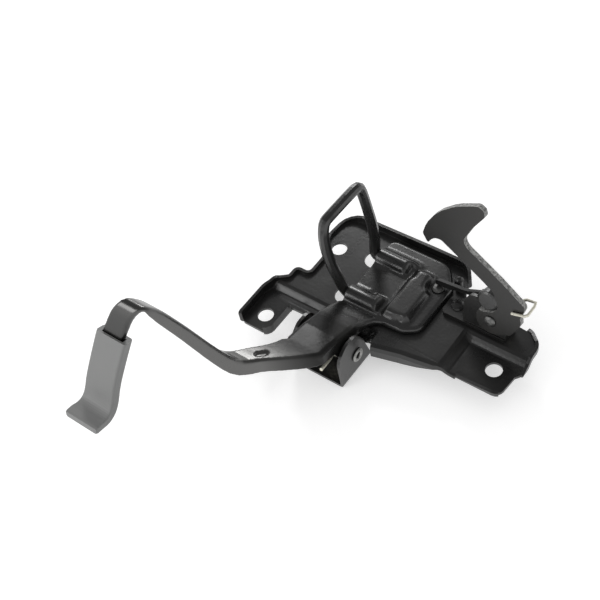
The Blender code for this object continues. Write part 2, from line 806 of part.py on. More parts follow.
def lever_cuts():
    """Lines that divide the lever's sheet where its form needs them."""
    turns = [sin(pi*i/10) for i in range(-5, 6)] + [-CHANNEL_SPREAD, -1.2, 1.2, CHANNEL_SPREAD]
    cuts_y = [centre + CHANNEL_RADIUS*turn for centre in (LOOP_FRONT_Y, LOOP_REAR_Y) for turn in turns]
    cuts_y += [PIVOT_Y + EAR_HALF*cos(pi*i/8) for i in range(9)]
    cuts_y += [y for y, _ in PLATE_RISE[:-2]] + [-0.0090]
    cuts_x = [CHANNEL_END + CHANNEL_FADE*i/4 for i in range(5)]
    foot = DOME_MIDDLE + DOME_SLOPE/2
    for middle, half, cuts in zip(DOME_CENTRE, DOME_HALF, (cuts_x, cuts_y)):
        ends = (middle - half*foot, middle + half*foot)
        cuts += steps_between(ends, ceil((ends[1] - ends[0])/GRID))
    return thinned(cuts_x), thinned(cuts_y)


def thinned(places):
    """Places in order, with those left out that stand closer than a fine step."""
    kept = []
    for place in sorted(places):
        if not kept or place - kept[-1] > FINE_STEP:
            kept.append(place)
    return kept


def release_lever(axis):
    """The lever stamping: carrier with half tubes and dome, wide plate, pivot ears and long arm."""
    outline = lever_outline()
    bm = sheet_face(outline, *lever_cuts())
    edge = PLATE_END + 0.00001
    front = [v for v in bm.verts if v.co.y < edge]
    sides = boundary(bm, lambda p: p.y > edge and not (p.y > CARRIER_FRONT and p.x < CARRIER_LEFT + GRID))
    columns = draw_lip(bm, sides, fold_steps(LEVER_FOLD, lever_flange, -1))
    corner = max(front, key=lambda v: v.co.x)
    column = columns[key(corner.co)]
    place = {}
    for start, verts in columns.items():
        for vert in verts:
            place[vert] = start
    for vert in bm.verts:
        x, y = (place[vert][0], place[vert][1]) if vert in place else (vert.co.x, vert.co.y)
        vert.co.z += lever_level(x, y)
    add_arm(bm, front, column)
    item = solid_sheet("release_lever", bm, LEVER_GAUGE, -1.0)
    hole = RIVET_SHANK + 2*(BUSH_WALL + 2*GAP)
    boolean(item, cylinder("lever_bore", hole, 0.0, 0.2, axis_x(0, PIVOT_Y, PIVOT_Z)))
    slot_place = Matrix.Translation(SLOT_PLACE) @ Matrix.Rotation(-SLOT_TILT, 4, "X")
    slot_place = slot_place @ Matrix.Rotation(SLOT_TURN, 4, "Z")
    w, length = SLOT[0]/2, SLOT[1]/2
    slot = rounded([(-w, -length, w), (w, -length, w), (w, length, w), (-w, length, w)], radians(45))
    boolean(item, plate("lever_slot", slot, SLOT_CUT, slot_place))
    stud = cylinder("lift_hole", LIFT_SHANK + 2*GAP, 0.0, 0.03, Matrix.Translation((*LIFT_STUD, 0)))
    boolean(item, stud)
    return keep("release_lever", item, BLACK, axis=axis)


def grip_sleeve(axis):
    """The moulded sleeve, lofted round the end of the arm, with a pocket for the strip."""
    rows = arm_rows()
    first = GRIP_FROM*ARM_STEPS
    item = sleeve_solid("grip_sleeve", rows[first - 1:], GRIP_SIDE, GRIP_WALL, GRIP_BACK, GRIP_LIP)
    pocket_back = LEVER_FOLD*LEAST_WALL - LEVER_GAUGE + 2*GAP
    pocket = sleeve_solid("grip_pocket", rows[first - ARM_STEPS:], GAP, GAP, pocket_back, GAP)
    boolean(item, pocket)
    return keep("grip_sleeve", item, GREY, 0.55, axis=axis)


def sleeve_solid(title, rows, side, front, back, beyond):
    """A loft round the arm's strip: a rounded box section carried from row to row and beyond the end."""
    soft = GRIP_SOFT*min(1.0, side/GRIP_SIDE)
    rings = []
    for i in range(1, len(rows)):
        right, width, _ = rows[i]
        across, normal = row_frame(rows, i)
        thin = 1 - GRIP_TAPER*(i/(len(rows) - 1))**3 if side == GRIP_SIDE else 1.0
        rings.append(sleeve_ring(right, width, across, normal, (side, front*thin, back*thin, soft*thin)))
    heading = (rows[-1][0] - rows[-2][0]).normalized()
    right, width, _ = rows[-1]
    trim = min(GRIP_TIP_TRIM, side/4)
    for share, less in ((0.75, 0.0), (1.0, trim)):
        ring = sleeve_ring(right, width, across, normal, (side - less, front*thin - less, back*thin - less, soft*thin))
        rings.append([p + heading*beyond*share for p in ring])
    bm = bmesh.new()
    grid = [[bm.verts.new(p) for p in ring] for ring in rings]
    for a, b in zip(grid, grid[1:]):
        for k in range(len(a)):
            m = (k + 1) % len(a)
            bm.faces.new((a[k], a[m], b[m], b[k]))
    bm.faces.new(grid[0][::-1])
    bm.faces.new(grid[-1])
    bmesh.ops.recalc_face_normals(bm, faces=bm.faces)
    return mesh_object(title, bm)


def sleeve_ring(right, width, across, normal, walls):
    """One rounded rectangle round the strip's section."""
    side, front, back, soft = walls
    x0, x1 = -width - side, side
    y0, y1 = -LEVER_GAUGE - back, front
    small = min(soft, front*0.8)
    corners = [(x0, y0, soft), (x1, y0, soft), (x1, y1, small), (x0, y1, small)]
    return [right + across*x + normal*y for x, y in rounded(corners, radians(30))]


def lever_bush(title, face, ear, axis):
    """A flanged bush: its collar fills the space between bracket and lever ear."""
    shank = RIVET_SHANK/2 + GAP
    outer = shank + BUSH_WALL
    collar = abs(face - ear) - 2*GAP
    tube = LEVER_GAUGE + GAP
    profile = [(outer, collar + tube), (outer, collar), (BUSH_FLANGE/2, collar), (BUSH_FLANGE/2, 0.0),
               (shank, 0.0), (shank, collar + tube)]
    turn = axis_x(face - GAP, PIVOT_Y, PIVOT_Z) @ Matrix.Rotation(pi, 4, "X")
    if ear > face:
        turn = axis_x(face + GAP, PIVOT_Y, PIVOT_Z)
    return keep(title, turned(title, profile, turn), NYLON, 0.5, axis=axis)


def pivot_pieces(axis):
    """Rivet, bushes, spacer and spring on the lever's pivot."""
    face_right = EAR_RIGHT - EAR_GAUGE
    face_left = EAR_LEFT + EAR_GAUGE
    head = RIVET_HEAD/2
    shank = RIVET_SHANK/2
    bore = RIVET_BORE/2
    length = EAR_RIGHT - EAR_LEFT + 2*GAP
    high = length + HEAD_HEIGHT
    profile = [(head - 0.0008, high), (head, high - HEAD_HEIGHT*0.5), (head, length), (shank, length), (shank, 0.0),
               (head, 0.0), (head, -HEAD_HEIGHT*0.5), (head - 0.0008, -HEAD_HEIGHT), (bore + 0.0006, -HEAD_HEIGHT),
               (bore, -HEAD_HEIGHT*0.4), (bore, length + HEAD_HEIGHT*0.4), (bore + 0.0006, high)]
    rivet = turned("pivot_rivet", profile, axis_x(EAR_LEFT - GAP, PIVOT_Y, PIVOT_Z), 24)
    keep("pivot_rivet", rivet, STEEL, 0.3, 1.0)
    lever_bush("bush_right", face_right, PLATE_RIGHT, axis)
    lever_bush("bush_left", face_left, PLATE_LEFT, axis)
    low = PLATE_LEFT + LEVER_GAUGE + 2*GAP
    high = PLATE_RIGHT - LEVER_GAUGE - 2*GAP
    inner = shank + GAP
    outer = inner + SPACER_WALL
    tube = [(outer, high - low), (outer, 0.0), (inner, 0.0), (inner, high - low)]
    keep("spacer_tube", turned("spacer_tube", tube, axis_x(low, PIVOT_Y, PIVOT_Z)), STEEL, 0.4, 1.0, axis=axis)
    lever_spring(axis, outer)


def lever_spring(axis, core):
    """Torsion spring on the spacer: one leg lifts the lever's flange, one lies on the bracket."""
    radius = core + 2*GAP + LEVER_WIRE/2
    flange = PLATE_RIGHT - LEVER_GAUGE/2
    upper = (LEG_UPPER[0] - PIVOT_Y, LEG_UPPER[1] - PIVOT_Z)
    lower = (LEG_LOWER[0] - PIVOT_Y, LEG_LOWER[1] - PIVOT_Z)
    turns = coil(radius, upper, lower, LEVER_TURNS, LEVER_WIRE*COIL_PITCH)
    points = [(flange, *LEG_END), (flange - LEVER_WIRE, *LEG_UPPER)]
    points += [(LEVER_COIL_X - h, PIVOT_Y + u, PIVOT_Z + v) for u, v, h in turns]
    points.append((points[-1][0], *LEG_LOWER))
    keep("lever_spring", wire("lever_spring", points, LEVER_WIRE), ZINC, 0.35, 0.8, axis=axis)


# Striker loop

def striker_loop(axis):
    """The U of thick wire, with both ends laid in the half tubes."""
    z = CARRIER_TOP + CHANNEL_HEIGHT - LEVER_GAUGE - 2*GAP - LOOP_WIRE/2
    front, rear = LOOP_FRONT_Y, LOOP_REAR_Y
    route = [
        (LOOP_LEAD, front, z), (0.0408, front, z), (0.0386, front, z + 0.0005), (0.0371, front, z + 0.0021),
        (0.0362, front - 0.0001, z + 0.0050), (0.0339, front - 0.0006, z + 0.0140),
        (0.0316, front - 0.0012, z + 0.0240), (0.0302, front - 0.0016, z + 0.0360),
        (0.0300, front - 0.0016, z + 0.0480), (0.0306, front - 0.0010, LOOP_TOP - 0.0066),
        (0.0310, front + 0.0008, LOOP_TOP - 0.0017), (0.0316, front + 0.0058, LOOP_TOP),
        (0.0322, rear - 0.0060, LOOP_TOP), (0.0324, rear - 0.0008, LOOP_TOP - 0.0017),
        (0.0329, rear + 0.0012, LOOP_TOP - 0.0068), (0.0345, rear + 0.0022, LOOP_TOP - 0.0230),
        (0.0360, rear + 0.0024, z + 0.0270), (0.0368, rear + 0.0018, z + 0.0140),
        (0.0366, rear + 0.0010, z + 0.0050), (0.0370, rear + 0.0003, z + 0.0017),
        (0.0380, rear, z + 0.0004), (0.0405, rear, z), (LOOP_LEAD, rear, z),
    ]
    line = smooth_line(route, 3)
    keep("striker_loop", wire("striker_loop", line, LOOP_WIRE, 3), BLACK, 0.35, axis=axis)


# Hook side

def hook_plane(offset):
    """Plane of the hook: local X along X, local Y up the lean, local Z to the front."""
    up = Vector((0, sin(LEAN), cos(LEAN)))
    out = Vector((0, -cos(LEAN), sin(LEAN)))
    base = Vector((0, WALL_FOOT_Y, WALL_Z)) + out*offset
    return Matrix(((1, up.x, out.x, base.x), (0, up.y, out.y, base.y), (0, up.z, out.z, base.z), (0, 0, 0, 1)))


def hook_bracket():
    """The L bracket on the floor: a foot behind, and a leaning wall for the hook's pivot."""
    floor = FLOOR_RISE + BASE_GAUGE + GAP
    g = WALL_GAUGE
    stud_x, stud_s = STUD_PLACE
    wall_outline = rounded([
        (WALL_LEFT, -0.0045, 0.0), (WALL_RIGHT, -0.0045, 0.0), (WALL_RIGHT, 0.0180, 0.006),
        (stud_x + 0.0058, 0.0250, 0.004), (stud_x + 0.0056, stud_s + 0.0056, 0.0056),
        (stud_x - 0.0056, stud_s + 0.0056, 0.0056), (stud_x - 0.0060, 0.0245, 0.003),
        (0.1155, 0.0235, 0.003), (WALL_LEFT, 0.0172, 0.003),
    ])
    item = plate("hook_bracket", wall_outline, g, hook_plane(-g/2))
    foot = rounded([
        (FOOT_LEFT, WALL_FOOT_Y - 0.0010, 0.003), (WALL_RIGHT, WALL_FOOT_Y - 0.0010, 0.001),
        (WALL_RIGHT, FOOT_BACK, 0.004), (FOOT_LEFT, FOOT_BACK, 0.004),
    ])
    base = plate("bracket_foot", foot, g, Matrix.Translation((0, 0, floor + g/2)))
    item = boolean(item, base, "UNION")
    item = baked(item)
    low = bpy_box("bracket_trim", (0.05, 0.02, floor - 0.02), (0.2, 0.12, floor))
    boolean(item, low)
    hole = PIN_SHANK + 2*(BUSH_WALL + 2*GAP)
    pivot = hook_plane(0.0) @ Matrix.Translation((*HOOK_PIVOT, 0))
    boolean(item, cylinder("wall_bore", hole, -0.02, 0.02, pivot))
    stud = hook_plane(0.0) @ Matrix.Translation((*STUD_PLACE, 0))
    boolean(item, cylinder("stud_bore", STUD_NECK - 0.002 + 2*GAP, -0.02, 0.02, stud))
    for i, (x, y) in enumerate(FOOT_RIVETS):
        hole = cylinder("bracket_hole_%d" % i, FOOT_RIVET_SHANK + 2*GAP, 0.0, 0.03, Matrix.Translation((x, y, 0)))
        boolean(item, hole)
    return keep("hook_bracket", item, BLACK)


def bpy_box(title, low, high):
    """A box between two corners, as a cutter."""
    bm = bmesh.new()
    bmesh.ops.create_cube(bm, size=1.0)
    size = Vector(high) - Vector(low)
    middle = (Vector(high) + Vector(low))/2
    bmesh.ops.scale(bm, verts=bm.verts, vec=size)
    bmesh.ops.translate(bm, verts=bm.verts, vec=middle)
    return mesh_object(title, bm)


def hook_outline():
    """The hook's face: beak, shank, elbow and the round boss on the pivot."""
    px, ps = HOOK_PIVOT
    sx, ss = STUD_PLACE
    notch = STUD_HEAD/2 + GAP
    apart = hypot(px - sx, ps - ss)
    down = atan2(ps - ss, px - sx)
    share = (notch*notch - HOOK_BOSS*HOOK_BOSS + apart*apart)/(2*apart)
    meet_stud = down + HOOK_SWEEP - acos(share/notch)
    meet_boss = down + pi + HOOK_SWEEP + acos((apart - share)/HOOK_BOSS)
    turned_x = px + apart*cos(down + pi + HOOK_SWEEP)
    turned_s = ps + apart*sin(down + pi + HOOK_SWEEP)
    boss = arc_points((px, ps), HOOK_BOSS, meet_boss, radians(300), 14)
    outer = [
        (0.1463, 0.0110, 0.003), (0.1522, 0.0225, 0.002), (0.1513, 0.0280, 0.002), (0.1540, 0.0370, 0.004),
        (0.1365, 0.0490, 0.02), (0.1135, 0.0628, 0.008), (0.1108, 0.0672, 0.006), (0.1165, 0.0790, 0.01),
        (0.1236, 0.0900, 0.003), (0.1225, 0.0938, 0.002), (0.1190, 0.0957, 0.003), (0.1050, 0.0893, 0.02),
        (0.0930, 0.0795, 0.02), (0.0863, 0.0685, 0.015), (0.0840, 0.0600, 0.003), (0.0880, 0.0540, 0.001),
        (0.0895, 0.0572, 0.002), (0.0925, 0.0600, 0.004), (0.0965, 0.0606, 0.004), (0.1030, 0.0568, 0.01),
        (0.1240, 0.0443, 0.02), (0.1330, 0.0385, 0.004),
    ]
    side = arc_points((sx, ss), notch, radians(42), down, 9)
    side += arc_points((px, ps), apart - notch, down + pi, down + pi + HOOK_SWEEP, 3)[1:]
    side += arc_points((turned_x, turned_s), notch, down + HOOK_SWEEP, meet_stud, 5)[1:-1]
    corners = [(x, y, 0.0) for x, y in boss] + outer + [(x, y, 0.0) for x, y in side]
    return rounded(corners)


def safety_hook(axis):
    """The flat hook, cut from thick plate."""
    back = WASHER + 2*GAP
    item = plate("safety_hook", hook_outline(), HOOK_GAUGE, hook_plane(back + HOOK_GAUGE/2))
    bore = hook_plane(0.0) @ Matrix.Translation((*HOOK_PIVOT, 0))
    boolean(item, cylinder("hook_bore", PIN_SHANK + 2*GAP, -0.01, 0.02, bore))
    return keep("safety_hook", item, BLACK, 0.42, axis=axis)


def hook_pieces(axis):
    """Pin, bush, washers, kick lever, spring and stop stud of the hook."""
    place = hook_plane(0.0) @ Matrix.Translation((*HOOK_PIVOT, 0))
    shank = PIN_SHANK/2
    front = WASHER + 3*GAP + HOOK_GAUGE
    length = (HOOK_TURNS + 0.6)*SPRING_WIRE*COIL_PITCH + SPRING_WIRE
    kick_front = -(WALL_GAUGE + 2*GAP + BUSH_FLANGE_GAUGE + length)
    kick_back = kick_front - KICK_GAUGE
    back = kick_back - GAP
    head = PIN_HEAD/2
    dome = 0.0014
    profile = [(0.0, front + dome), (head*0.55, front + dome*0.85), (head*0.9, front + dome*0.45), (head, front),
               (shank, front), (shank, back), (head, back), (head, back - dome), (0.0, back - dome)]
    keep("hook_pin", turned("hook_pin", profile, place), STEEL, 0.35, 1.0, axis=axis)
    ring = [(WASHER_OUTER/2, GAP + WASHER), (WASHER_OUTER/2, GAP), (shank + GAP, GAP), (shank + GAP, GAP + WASHER)]
    keep("hook_washer", turned("hook_washer", ring, place), STEEL, 0.4, 1.0, axis=axis)
    inner = shank + GAP
    bush_outer = inner + BUSH_WALL
    collar = bush_outer + 0.0016
    low = -(WALL_GAUGE + GAP + BUSH_FLANGE_GAUGE)
    bush = [(bush_outer, 0.0), (bush_outer, -(WALL_GAUGE + GAP)), (collar, -(WALL_GAUGE + GAP)), (collar, low),
            (inner, low), (inner, 0.0)]
    keep("hook_bush", turned("hook_bush", bush, place), NYLON, 0.5)
    kick_lever(axis, kick_front)
    hook_spring(axis, place, shank)
    stop_stud()


def kick_lever(axis, front):
    """The lever behind the wall, from the pin to the lift stud on the carrier."""
    px, ps = HOOK_PIVOT
    tip = KICK_TIP
    boss = arc_points((px, ps), KICK_BOSS, radians(-120), radians(110), 14)
    low = kick_height(front - KICK_GAUGE)
    arm = [(px - 0.0120, ps + 0.0035, 0.006), (0.1060, low + 0.0055, 0.010), (tip, low + 0.0036, 0.002),
           (tip, low, 0.0015), (0.0910, low, 0.006), (0.1080, low + 0.0035, 0.010), (px - 0.0100, ps - 0.0060, 0.006)]
    outline = rounded([(x, y, 0.0) for x, y in boss] + arm)
    item = plate("kick_lever", outline, KICK_GAUGE, hook_plane(front - KICK_GAUGE/2))
    bore = hook_plane(0.0) @ Matrix.Translation((px, ps, 0))
    boolean(item, cylinder("kick_bore", PIN_SHANK + 2*GAP, -0.05, 0.0, bore))
    return keep("kick_lever", item, BLACK, axis=axis)


def kick_height(depth):
    """Height up the lean of the kick lever's lower edge, just above the lift stud."""
    top = CARRIER_TOP + GAP + LIFT_TOP
    return (top + GAP - WALL_Z - depth*sin(LEAN))/cos(LEAN)


def hook_spring(axis, place, shank):
    """Torsion spring behind the wall; one leg wraps round the hook's edge to its front."""
    radius = shank + 2*GAP + SPRING_WIRE/2
    near = -(WALL_GAUGE + 2*GAP + BUSH_FLANGE_GAUGE + SPRING_WIRE/2)
    front = WASHER + 3*GAP + HOOK_GAUGE + SPRING_WIRE/2
    edge = HOOK_EDGE + SPRING_WIRE/2 - HOOK_PIVOT[0]
    leave = (edge - 0.006, 0.0190)
    turns = coil(radius, HOOK_LEG, leave, HOOK_TURNS, SPRING_WIRE*COIL_PITCH)
    length = turns[-1][2]
    points = [(*HOOK_LEG, near - length)] + [(u, v, near - length + h) for u, v, h in turns]
    points += [(*leave, near), (edge, 0.0208, near + 0.0010), (edge + 0.0006, 0.0202, near + 0.0035),
               (edge + 0.0002, 0.0180, front - 0.0012), (edge - 0.0014, 0.0172, front),
               (edge - 0.0095, 0.0150, front)]
    line = [place @ Vector(p) for p in points]
    return keep("hook_spring", wire("hook_spring", line, SPRING_WIRE), ZINC, 0.35, 0.8, axis=axis)


def stop_stud():
    """The buffer stud beside the hook's elbow."""
    place = hook_plane(0.0) @ Matrix.Translation((*STUD_PLACE, 0))
    neck = STUD_NECK/2 - 0.001
    head = STUD_HEAD/2
    high = GAP + STUD_THICK
    back = -(WALL_GAUGE + GAP)
    profile = [(0.0, high), (head*0.78, high), (head, high - 0.0008), (head, GAP + 0.0008), (head*0.92, GAP),
               (neck, GAP), (neck, back), (neck + 0.0014, back), (neck + 0.0010, back - 0.0012), (0.0, back - 0.0014)]
    return keep("stop_stud", turned("stop_stud", profile, place, 24), BLACK)


def small_fixings(axis):
    """Lift stud on the carrier, guide pin and the foot's rivets on the base plate."""
    web = LEVER_GAUGE
    head = LIFT_HEAD/2
    shank = LIFT_SHANK/2
    under = CARRIER_TOP - web - GAP
    top = CARRIER_TOP + GAP
    profile = [(0.0, top + LIFT_TOP), (head*0.7, top + LIFT_TOP*0.9), (head, top + LIFT_TOP*0.4), (head, top),
               (shank, top), (shank, under), (shank + 0.0010, under), (shank + 0.0006, under - 0.0008),
               (0.0, under - 0.0008)]
    keep("lift_stud", turned("lift_stud", profile, Matrix.Translation((*LIFT_STUD, 0))), STEEL, 0.4, 1.0, axis=axis)
    floor = FLOOR_RISE + BASE_GAUGE
    r = GUIDE_SHANK/2
    foot = FLOOR_RISE - GAP
    pin = [(0.0, floor + 0.0105), (r*0.6, floor + 0.0100), (r + 0.0004, floor + 0.0085), (r + 0.0004, floor + GAP),
           (r, floor + GAP), (r, foot), (r + 0.0012, foot), (r + 0.0008, foot - 0.0012), (0.0, foot - 0.0012)]
    keep("guide_pin", turned("guide_pin", pin, Matrix.Translation((*GUIDE_PIN, 0))), BLACK)
    foot_rivets(floor, foot)


def foot_rivets(floor, foot):
    """The two rivets through foot and floor."""
    top = floor + GAP + WALL_GAUGE + GAP
    head = FOOT_RIVET_HEAD/2
    shank = FOOT_RIVET_SHANK/2
    profile = [(0.0, top + 0.0018), (head*0.6, top + 0.0015), (head*0.92, top + 0.0007), (head, top), (shank, top),
               (shank, foot), (head*0.9, foot), (head*0.9, foot - 0.0010), (0.0, foot - 0.0010)]
    for side, (x, y) in zip(("left", "right"), FOOT_RIVETS):
        title = "foot_rivet_" + side
        keep(title, turned(title, profile, Matrix.Translation((x, y, 0)), 16), BLACK)


def axis_empty(title, place):
    """An empty on a joint's axis, which carries the moving parts."""
    item = bpy.data.objects.new(title, None)
    item.empty_display_size = 0.01
    item.matrix_world = place
    PARTS.objects.link(item)
    bpy.context.view_layer.update()
    return item


def main():
    """Builds every part."""
    lever_axis = axis_empty("lever_axis", axis_x(PLATE_RIGHT, PIVOT_Y, PIVOT_Z))
    hook_axis = axis_empty("hook_axis", hook_plane(0.0) @ Matrix.Translation((*HOOK_PIVOT, 0)))
    base_plate()
    pivot_bracket()
    release_lever(lever_axis)
    striker_loop(lever_axis)
    grip_sleeve(lever_axis)
    pivot_pieces(lever_axis)
    hook_bracket()
    safety_hook(hook_axis)
    hook_pieces(hook_axis)
    small_fixings(lever_axis)


main()
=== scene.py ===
"""Looks for the tailgate lock: finishes, a finer pressed lever, soft edges, floor, light and camera."""
from math import cos, radians, sin

import bmesh
import bpy
from mathutils import Matrix, Vector


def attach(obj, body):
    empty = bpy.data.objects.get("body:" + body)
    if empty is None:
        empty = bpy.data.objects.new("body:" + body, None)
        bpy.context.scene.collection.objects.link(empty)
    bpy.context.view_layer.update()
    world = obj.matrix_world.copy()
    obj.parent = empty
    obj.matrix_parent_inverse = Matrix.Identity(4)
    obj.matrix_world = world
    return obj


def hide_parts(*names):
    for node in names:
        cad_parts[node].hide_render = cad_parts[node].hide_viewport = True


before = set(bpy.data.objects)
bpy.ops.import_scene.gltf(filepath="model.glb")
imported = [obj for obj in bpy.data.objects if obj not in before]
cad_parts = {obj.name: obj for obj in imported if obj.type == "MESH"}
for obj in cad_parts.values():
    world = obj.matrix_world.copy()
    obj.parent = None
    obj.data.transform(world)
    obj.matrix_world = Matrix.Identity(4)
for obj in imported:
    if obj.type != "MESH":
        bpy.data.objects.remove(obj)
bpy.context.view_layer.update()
scene = bpy.context.scene

# Camera, fitted to the photograph
AIM = Vector((0.0109, 0.0215, 0.0))
AZIMUTH = radians(47.6)
ELEVATION = radians(51.2)
ROLL = radians(-13.8)
DISTANCE = 0.764
LENS = 72.0
SENSOR = 36.0
CLIP = (0.01, 20.0)

# Light: a soft box behind on the left, one low in front, and a tent that is brighter near the table
WORLD_LEVEL = 0.68
TENT_TOP = 0.26
TENT_SIDE = 1.0
TENT_HEIGHTS = (0.12, 0.62)
LAMP_AWAY = 1.1
KEY_WAY = Vector((-0.463, 0.684, 0.564))
KEY_SIZE = 0.24
KEY_POWER = 2.4
FRONT_WAY = Vector((-0.463, -0.80, 0.38))
FRONT_SIZE = 0.52
FRONT_POWER = 3.2

# Floor, a little below the bracket, lifted to white for the camera where nothing shades it
FLOOR_Z = -0.0152
FLOOR_SIZE = 12.0
FLOOR_COLOUR = 0.82
FLOOR_ROUGHNESS = 0.9
FLOOR_LIFT = 0.43
FLOOR_MIRRORED = 0.5

# Lever sheet: boxes of (left, right, front, back) that are pressed to a level, each with a slope round it
SHEET = 0.002
CARRIER_TOP = 0.0105
RECESSES = (
    (0.0535, 0.0675, 0.0435, 0.0625),
    (0.0645, 0.0675, 0.0320, 0.0440),
    (0.0645, 0.0675, 0.0610, 0.0720),
)
RECESS_SLOPE = 0.0026
PLATEAU = ((0.0722, 0.0828, 0.0362, 0.0580), (0.0722, 0.0785, 0.0580, 0.0700))
PLATEAU_TOP = 0.0153
PLATEAU_SLOPE = 0.0042
SMOOTHED = ((0.0610, 0.0880, 0.0310, 0.0790), (0.0500, 0.0880, 0.0430, 0.0620))
FACING = 0.2
LEVER_GRAIN = 0.0005
SMOOTHING = 0.5
SHEET_SMOOTHINGS = 5
PRESS_SMOOTHINGS = 12

# Soft edges: how wide the rounding of each piece's sharp edges is
WELD = 0.00001
SHARP = radians(38)
SEGMENTS = 2
SOFT_EDGES = {
    "base_plate": 0.00035, "pivot_bracket": 0.00035, "hook_bracket": 0.00035, "safety_hook": 0.0004,
    "kick_lever": 0.0003, "stop_stud": 0.0004, "hook_pin": 0.0003, "guide_pin": 0.0003,
    "lift_stud": 0.0003, "pivot_rivet": 0.0003,
}

# Noises: scale for each metre, detail and roughness
PEEL = (520.0, 1.0, 0.4)
PATCH = (30.0, 3.0, 0.55)
DUST = (1500.0, 2.0, 0.6)
DUSTY_AREA = (45.0, 2.0, 0.5)
WEAR = (260.0, 3.0, 0.6)
TEAR = (700.0, 3.0, 0.7)
GRAIN = (2200.0, 2.0, 0.6)
MOTTLE = (60.0, 2.0, 0.5)
STREAK = (420.0, 3.0, 0.6)
HOOK_PATCH_SCALE = 26.0

# Bumps: depth in metres and strength
PEEL_BUMP = (0.00004, 1.0)
TEAR_BUMP = (0.00005, 0.7)
GRAIN_BUMP = (0.00004, 0.8)
STREAK_BUMP = (0.00003, 0.6)

# The part of a noise's values that a look is spread over
MIDDLE = (0.3, 0.7)
NARROW_MIDDLE = (0.35, 0.65)
DUST_SPOTS = (0.70, 0.80)
DUSTY_AREAS = (0.42, 0.66)
WORN_SPOTS = (0.38, 0.62)

# How far the roughness of plastic and of steel swings to both sides of its own value
PLASTIC_SWING = (-0.05, 0.06)
STEEL_SWING = (-0.08, 0.10)

# Coat: dust, and how the black gives way along the lever's arm, which runs along -Y, to a grey metallic
# colour that is partly a greyish coat and partly painted light, and at the neck to a darker grey that is
# painted shade
DUST_COLOUR = (0.11, 0.11, 0.105)
DUST_ROUGHENS = 0.25
EDGE_WIDTH = 0.0006
EDGE_SAMPLES = 6
EDGE_TURN = (0.03, 0.22)
BREAK_UP = 0.6
# The arm's grey is partly a greyish coat and partly painted light, set light for the arm's brighter look.
ARM_GREY_AND_PAINTED_LIGHT = (0.130, 0.129, 0.127)
ARM_GREY_FROM = (-0.022, -0.044)
# The neck's darker grey is painted shade, which dims the reflection on the top bend.
NECK_PAINTED_SHADE = (0.055, 0.055, 0.054)
NECK_SHADE_FROM = (-0.083, -0.092)
DULL_SHINE = 0.15
DULL_FROM = (0.022, 0.008)

# Hook: its face's normal, which tells the sheared edges from the faces
HOOK_NORMAL = (0.0, -0.98480775, 0.17364818)
HOOK_SIDES = (0.8, 0.4)
HOOK_FACE = ((0.010, 0.0098, 0.0092), (0.020, 0.019, 0.0175))
# The sheared edges' light grey is partly wear and partly painted light, standing in for the light the
# edges catch from the lamps.
HOOK_EDGE_WEAR_AND_SHEEN = ((0.08, 0.08, 0.077), (0.42, 0.42, 0.41))
HOOK_ROUGHNESS = (0.34, 0.46)
TORN_ROUGHENS = 0.16


# Camera and lamps

def camera_axes():
    """Right, up and back of the camera."""
    right = Vector((cos(AZIMUTH), sin(AZIMUTH), 0.0))
    back = Vector((sin(AZIMUTH)*cos(ELEVATION), -cos(AZIMUTH)*cos(ELEVATION), sin(ELEVATION)))
    up = back.cross(right)
    return right*cos(ROLL) + up*sin(ROLL), up*cos(ROLL) - right*sin(ROLL), back


def look_along(item, place, back, right):
    """Turns an item so that it looks against its back direction."""
    up = back.cross(right).normalized()
    turn = Matrix((right, up, back)).transposed()
    item.matrix_world = Matrix.Translation(place) @ turn.to_4x4()


def add_camera():
    """The camera at the photograph's angle."""
    data = bpy.data.cameras.new("camera")
    data.lens = LENS
    data.sensor_width = SENSOR
    data.clip_start, data.clip_end = CLIP
    item = bpy.data.objects.new("camera", data)
    scene.collection.objects.link(item)
    right, _, back = camera_axes()
    look_along(item, AIM + back*DISTANCE, back, right)
    scene.camera = item


def add_area(title, direction, size, power):
    """A soft square lamp that shines at the object from a direction."""
    data = bpy.data.lights.new(title, "AREA")
    data.shape = "SQUARE"
    data.size = size
    data.energy = power
    item = bpy.data.objects.new(title, data)
    scene.collection.objects.link(item)
    back = direction.normalized()
    right = Vector((0, 0, 1)).cross(back).normalized()
    look_along(item, AIM + back*LAMP_AWAY, back, right)


# Node helpers

def set_input(tree, socket, value):
    """Feeds an input from a socket, a colour of three numbers or a number."""
    if isinstance(value, tuple):
        socket.default_value = (*value, 1.0)
    elif isinstance(value, (int, float)):
        socket.default_value = value
    else:
        tree.links.new(value, socket)


def object_place(tree):
    """The piece's own coordinates."""
    return tree.nodes.new("ShaderNodeTexCoord").outputs["Object"]


def noise(tree, scale, detail, rough, place):
    """A noise on some coordinates."""
    node = tree.nodes.new("ShaderNodeTexNoise")
    node.inputs["Scale"].default_value = scale
    node.inputs["Detail"].default_value = detail
    node.inputs["Roughness"].default_value = rough
    tree.links.new(place, node.inputs["Vector"])
    return node


def remap(tree, value, low, high, to_low=0.0, to_high=1.0):
    """A clamped Map Range on a value."""
    node = tree.nodes.new("ShaderNodeMapRange")
    for name, number in (("From Min", low), ("From Max", high), ("To Min", to_low), ("To Max", to_high)):
        node.inputs[name].default_value = number
    tree.links.new(value, node.inputs["Value"])
    return node.outputs["Result"]


def maths(tree, operation, first, second=0.0):
    """A Math node; each side is a socket or a number."""
    node = tree.nodes.new("ShaderNodeMath")
    node.operation = operation
    set_input(tree, node.inputs[0], first)
    set_input(tree, node.inputs[1], second)
    return node.outputs[0]


